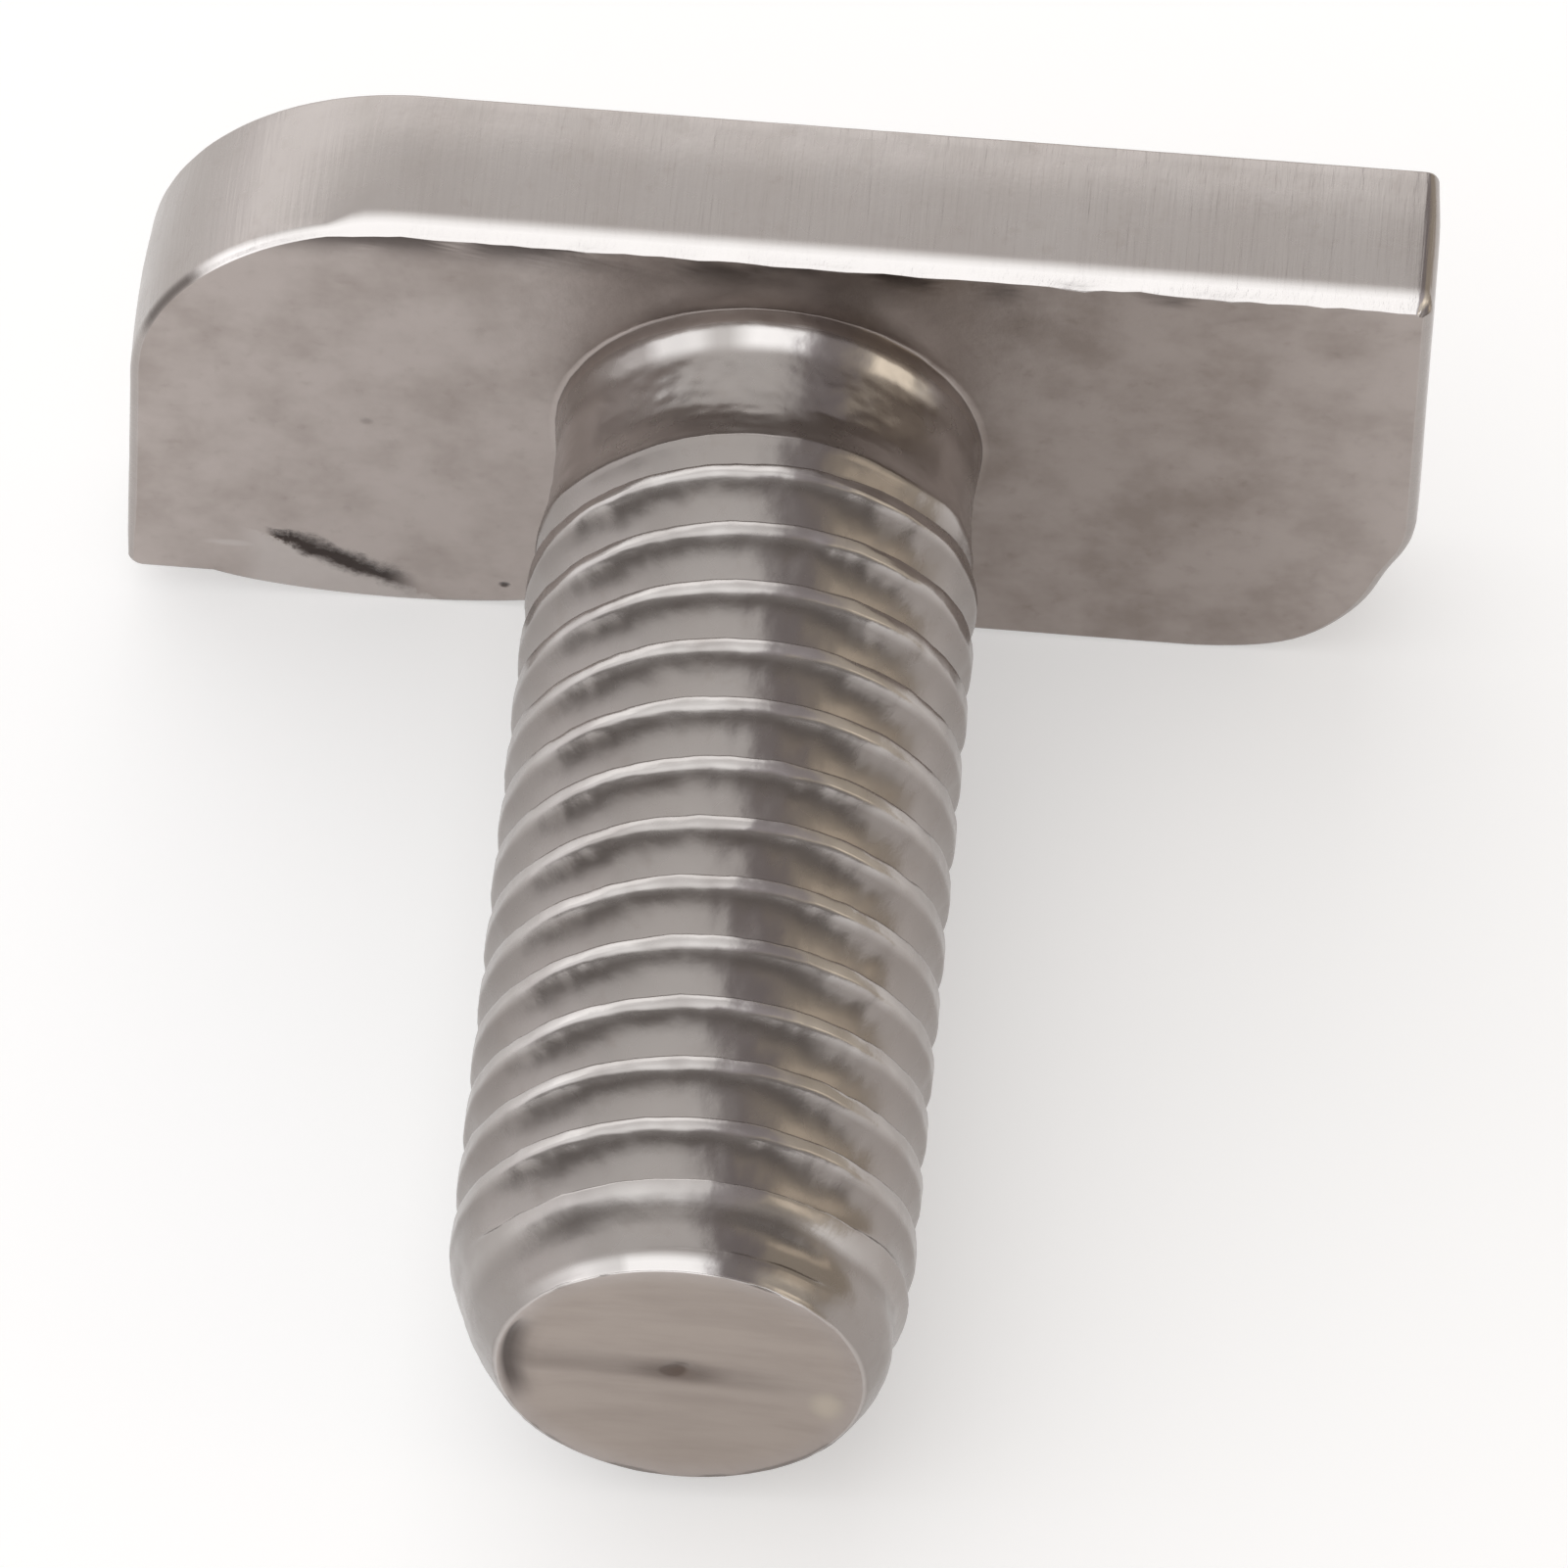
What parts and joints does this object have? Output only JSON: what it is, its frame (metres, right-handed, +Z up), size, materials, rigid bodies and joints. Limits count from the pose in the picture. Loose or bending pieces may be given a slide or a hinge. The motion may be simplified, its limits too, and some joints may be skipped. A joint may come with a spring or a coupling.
{
  "type": "t slot bolt",
  "caption": "Hammer-head bolt for a T-slot: a flat oblong head with two round corners for the quarter turn, on a fully threaded shank.",
  "frame": {"origin": "centre of the part's bounding box, on the floor that the bolt lies on", "axes": "+Z up; +Y runs level from the shank's tip towards the back of the head; +X runs along the head towards the end whose lower corner is round"},
  "size_m": [0.0234, 0.0236, 0.0111],
  "materials": {
    "steel": "satin, bare stainless steel as cold-formed and rolled"
  },
  "bodies": {
    "root": {"t_slot_bolt": "steel"}
  },
  "joints": []
}
